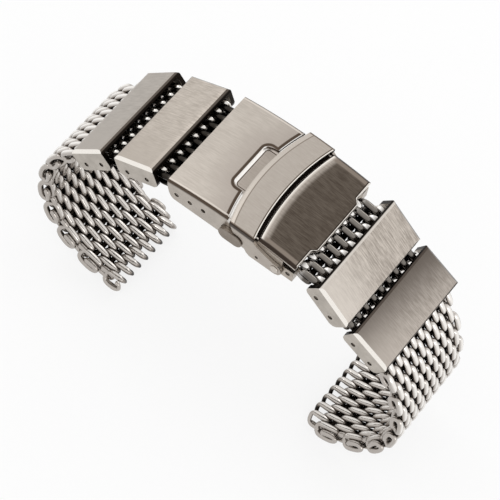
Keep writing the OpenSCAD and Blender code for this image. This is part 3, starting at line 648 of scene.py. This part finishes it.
def spiral(kind, count, thick, ends):
    """Rings (centre, half width, half thickness, painted highlight) of a row's wire.

    ends: (reach, half thickness, half tip width, painted highlight on the turns) at -x and +x.
    """
    rings = []
    total = count - 0.5
    tail, tuck = CURLED_TAIL if thick == FREE_WIRE else PLAIN_TAIL
    start, stop = -tail, total + tail
    steps = int(round((stop - start) * STEPS_A_TURN))
    for i in range(steps + 1):
        t = start + (stop - start) * i / steps
        c, s = -math.cos(2 * math.pi * t), math.sin(2 * math.pi * t)
        reach, tip_thick, tip_width, lit = ends[1] if c > 0 else ends[0]
        bend = abs(c) ** TIP_ONSET
        half_t = thick + (tip_thick - thick) * bend
        half_w = MID_WIDTH + (tip_width - MID_WIDTH) * bend
        curl = 1.0 - tuck * max(0.0, -t, t - total)
        x = curl * reach * math.copysign(abs(c) ** LOOP_ROUND, c)
        z = curl * (HALF_MESH - thick + PROUD) * math.copysign(abs(s) ** FACE_ROUND, s)
        lean = 2.0 * (min(max(t, 0.25), total - 0.25) - 0.25)
        off = lean - round(lean)
        y = LOOP_STEP / 2 * (round(lean) + off * abs(2.0 * off) ** LEAN_ONSET)
        painted_light = lit * share(abs(c), 0.3, 0.35)
        rings.append(((x, first_loop(kind) + y, z), half_w, half_t, painted_light))
    return rings


def wire_body(rings):
    """Vertices, faces, polish with painted light, and lit turns of an oval wire, ground flat on the
    strap's faces.
    """
    path = np.array([ring[0] for ring in rings])
    ahead = np.gradient(path, axis=0)
    ahead /= np.linalg.norm(ahead, axis=1)[:, None]
    across = np.array([0.0, 1.0, 0.0]) - ahead * ahead[:, 1:2]
    across /= np.linalg.norm(across, axis=1)[:, None]
    outward = np.cross(ahead, across)
    verts, polish_and_painted_light, turns = [], [], []
    last = len(path) - 1
    order = [(0, -push, size) for push, size in reversed(END_RINGS)]
    order += [(i, 0.0, 1.0) for i in range(len(path))]
    order += [(last, push, size) for push, size in END_RINGS]
    for i, push, size in order:
        _, half_w, half_t, lit = rings[i]
        for k in range(WIRE_SIDES):
            t = 2 * math.pi * (k + 0.5) / WIRE_SIDES
            point = (path[i] + ahead[i] * push * half_t + across[i] * half_w * size * math.cos(t)
                     + outward[i] * half_t * size * math.sin(t))
            point[2] = min(max(point[2], -HALF_MESH), HALF_MESH)
            verts.append(point)
            # Painted light: a highlight on the crest, shade down the flanks and deep in the weave.
            flank = share(abs(point[2]), *FLANK)
            crest = share(abs(point[2]), *CREST) * (1.0 - abs(math.cos(t)) ** CREST_ROUND)
            # Loops near the strap's sides are painted lighter all round, with less painted shade.
            edge = EDGE_START - min(point[1] - path[0][1], path[-1][1] - point[1]) / EDGE_REACH
            # The strap's inside is painted darker, as shade.
            inside_shade = 1.0 if point[2] > 0 else INNER_SHADE
            polish_and_painted_light.append(max(inside_shade * (0.55 * flank + 0.45 * crest), min(edge, EDGE_LIGHTEN), 0.0))
            turns.append(lit)
    faces = skin(len(order), WIRE_SIDES)
    faces.append(tuple(range(WIRE_SIDES - 1, -1, -1)))
    faces.append(tuple((len(order) - 1) * WIRE_SIDES + k for k in range(WIRE_SIDES)))
    return verts, faces, polish_and_painted_light, turns


def core_wire(kind, count):
    """Straight wire through the middle of a row that no pin or bar holds."""
    end = [(0.2, AXIS), (0.2, 0.42), (0.35, 0.56)]
    profile = [(first_loop(kind) + y, r) for y, r in end]
    profile += [(first_loop(kind) + (count - 1) * LOOP_STEP - y, r) for y, r in reversed(end)]
    verts, faces = turned(profile, WIRE_SIDES)
    return verts, faces, [0.0] * len(verts), [0.0] * len(verts)


# Ends of a row's loops, as spiral() takes them: hooked into the next row, clear of a plate's pin or
# a bar, or open at the strap's end. The lit ones are the turns that catch the light in the gaps,
# and get a painted highlight.
HOOK, LIT_HOOK, BAR_HOOK = (2.4, 0.5, 0.5, 0.0), (2.4, 0.5, 0.56, 1.0), (2.2, 0.5, 0.5, 0.35)
CLEAR, LIT_CLEAR, OPEN_TIP = (1.4, 0.5, 0.5, 0.0), (1.4, 0.5, 0.5, 0.9), (1.47, 0.44, 0.34, 0.0)


def row_ends(side, clasp_end, far_end):
    return (far_end, clasp_end) if side == LEFT else (clasp_end, far_end)


def woven_piece(name, node, body, rows, finish):
    """One piece for a node of the mesh. rows: (matrix, kind, count, wire thickness, ends)."""
    verts, faces, polish_and_painted_light, turns = [], [], [], []
    for matrix, kind, count, thick, ends in rows:
        wires = [wire_body(spiral(kind, count, thick, ends))]
        if thick == FREE_WIRE:
            wires.append(core_wire(kind, count))
        for ring, quads, painted_light, turn in wires:
            start = len(verts)
            verts += [matrix @ (Vector(v) * MM) for v in ring]
            faces += [tuple(start + i for i in quad) for quad in quads]
            polish_and_painted_light += painted_light
            turns += turn
    mesh_piece(name, verts, faces, finish, body, node,
               {"polish_and_painted_light": polish_and_painted_light, "turned": turns})


def arm_row(i, last, side, point, slope):
    """Row i of an arm, of which the first is on a link's pin and the last is the open end."""
    thick = PIN_WIRE if i == 0 else LAST_WIRE if i == last else FREE_WIRE
    clasp_end = CLEAR if i == 0 else BAR_HOOK if i == 1 else HOOK
    ends = row_ends(side, clasp_end, OPEN_TIP if i == last else HOOK)
    return placed(point, slope, side), -1 if i % 2 == 0 else 1, LOOPS, thick, ends


# An arm's slope at row i is first + bend * i + growth * i * i, in degrees. Each of its bodies has
# two rows, but the first has one, and so has the last of the right arm.
ARMS = [("left", LEFT, left_start, 40.9, 6.3, 0.18, 16),
        ("right", RIGHT, right_start, 52.5, 4.2, 0.29, 15)]
ARM_PARTS = 9
for arm, side, start, first, bend, growth, last in ARMS:
    slopes = [first + bend * i + growth * i * i for i in range(last)]
    points = course(start, slopes, ARM_PITCH, side)
    for part in range(1, ARM_PARTS + 1):
        rows = []
        for i in range(max(0, 2 * part - 3), min(2 * part - 2, last) + 1):
            slope = first + bend * (i - 0.5) + growth * (i - 0.5) ** 2
            rows.append(arm_row(i, last, side, points[i], slope))
        woven_piece(f"{arm}_weave_{part}", f"{arm}_mesh_{part}", f"{arm}_{part}", rows, arm_wire)

# Each short run of mesh is two bodies: its first two rows, and the row on the next link's pin. The
# one beside the pad has a loop less, because the clasp is narrower inside there.
SHORTS = [(1, left_inner, LEFT, LOOPS, BAR_WIRE), (3, left_outer, LEFT, LOOPS, PIN_WIRE),
          (5, right_inner, RIGHT, LOOPS - 1, BAR_WIRE), (7, right_outer, RIGHT, LOOPS, PIN_WIRE)]
for number, points, side, count, thick in SHORTS:
    slope_a, slope_b = SHORT_SLOPES[number]
    wire = left_shaded_wire if side == LEFT else right_shaded_wire
    first_ends = row_ends(side, LIT_CLEAR if side == LEFT else CLEAR, LIT_HOOK)
    middle_ends = row_ends(side, BAR_HOOK if thick == BAR_WIRE else HOOK, HOOK)
    last_ends = row_ends(side, LIT_HOOK, CLEAR)
    first_rows = [
        (placed(points[0], slope_a, side), 1, count, thick, first_ends),
        (placed(points[1], (slope_a + slope_b) / 2, side), -1, LOOPS, FREE_WIRE, middle_ends)]
    last_row = (placed(points[2], slope_b, side), 1, LOOPS, PIN_WIRE, last_ends)
    woven_piece(f"short_weave_{number}", f"short_mesh_{number}", f"short_{number}",
                first_rows, wire)
    woven_piece(f"short_weave_{number + 1}", f"short_mesh_{number + 1}", f"short_{number + 1}",
                [last_row], wire)

# Studio.
# A white paper sweep under a pale even sky and three soft lamps, seen at the photograph's angle.
SWEEP = 3  # half its width, in metres
WHITE = (1, 1, 1, 1)
sweep_mesh = bpy.data.meshes.new("sweep")
sweep_mesh.from_pydata([(-SWEEP, -SWEEP, 0), (SWEEP, -SWEEP, 0), (SWEEP, SWEEP, 0),
                        (-SWEEP, SWEEP, 0)], [], [(0, 1, 2, 3)])
sweep = bpy.data.objects.new("sweep", sweep_mesh)
bpy.context.scene.collection.objects.link(sweep)


def white_share(any_value):
    """1 for the rays that the eye, shiny steel or glass sends out."""
    eye, glossy, glass = (any_value.node("ShaderNodeLightPath", out=f"Is {ray} Ray")
                          for ray in ("Camera", "Glossy", "Transmission"))
    return (eye + glossy + glass).rise(0.0, 1.0)


paper, shader, place, _ = new_finish("white_paper", 0.0)
fibre = place.noise(700.0, 2.0)
place.put(shader.inputs["Base Color"], fibre.blend((0.88, 0.88, 0.88, 1), (0.92, 0.92, 0.92, 1)))
shader.inputs["Roughness"].default_value = 0.9
sweep_mesh.materials.append(paper)
white = place.node("ShaderNodeEmission", None, {"Color": WHITE, "Strength": 1.0})
plain = Value(paper.node_tree, shader.outputs[0])
shown = place.node("ShaderNodeMixShader", None, {0: 0.8 * white_share(place), 1: plain, 2: white})
place.put(paper.node_tree.nodes["Material Output"].inputs["Surface"], shown)

world = bpy.data.worlds.new("pale_sky")
bpy.context.scene.world = world
world.use_nodes = True
sky = world.node_tree.nodes["Background"]
sky.inputs["Color"].default_value = WHITE
sky_value = Value(world.node_tree, sky.outputs[0])
sky_value.put(sky.inputs["Strength"], 0.95 + 0.05 * white_share(sky_value))


LIT_PLACE = Vector((0, 0, 0.03))


def soft_lamp(name, place, size, power):
    """A square lamp aimed at the bracelet, in metres and watts."""
    data = bpy.data.lights.new(name, "AREA")
    data.size, data.energy = size, power
    lamp = bpy.data.objects.new(name, data)
    lamp.location = place
    lamp.rotation_euler = (LIT_PLACE - lamp.location).to_track_quat("-Z", "Y").to_euler()
    bpy.context.scene.collection.objects.link(lamp)


soft_lamp("key_lamp", (-0.30, 0.10, 0.55), 0.16, 0.26)
soft_lamp("fill_lamp", (0.55, -0.10, 0.10), 0.30, 0.5)
soft_lamp("back_lamp", (0.05, 0.55, 0.30), 0.20, 0.3)

CAMERA_PLACE = (0.09109, -0.192333, 0.397844)
RIGHT_WAY, UP_WAY = Vector((0.79801, 0.59226, 0.11140)), Vector((-0.56324, 0.66724, 0.48738))
camera_data = bpy.data.cameras.new("camera")
camera_data.sensor_width, camera_data.lens = 36.0, 158.4
camera_data.clip_start, camera_data.clip_end = 0.01, 10
camera = bpy.data.objects.new("camera", camera_data)
bpy.context.scene.collection.objects.link(camera)
bpy.context.scene.camera = camera
turn = Matrix((RIGHT_WAY, UP_WAY, RIGHT_WAY.cross(UP_WAY).normalized())).transposed().to_4x4()
camera.matrix_world = Matrix.Translation(CAMERA_PLACE) @ turn

bpy.context.scene.view_settings.view_transform = "Standard"
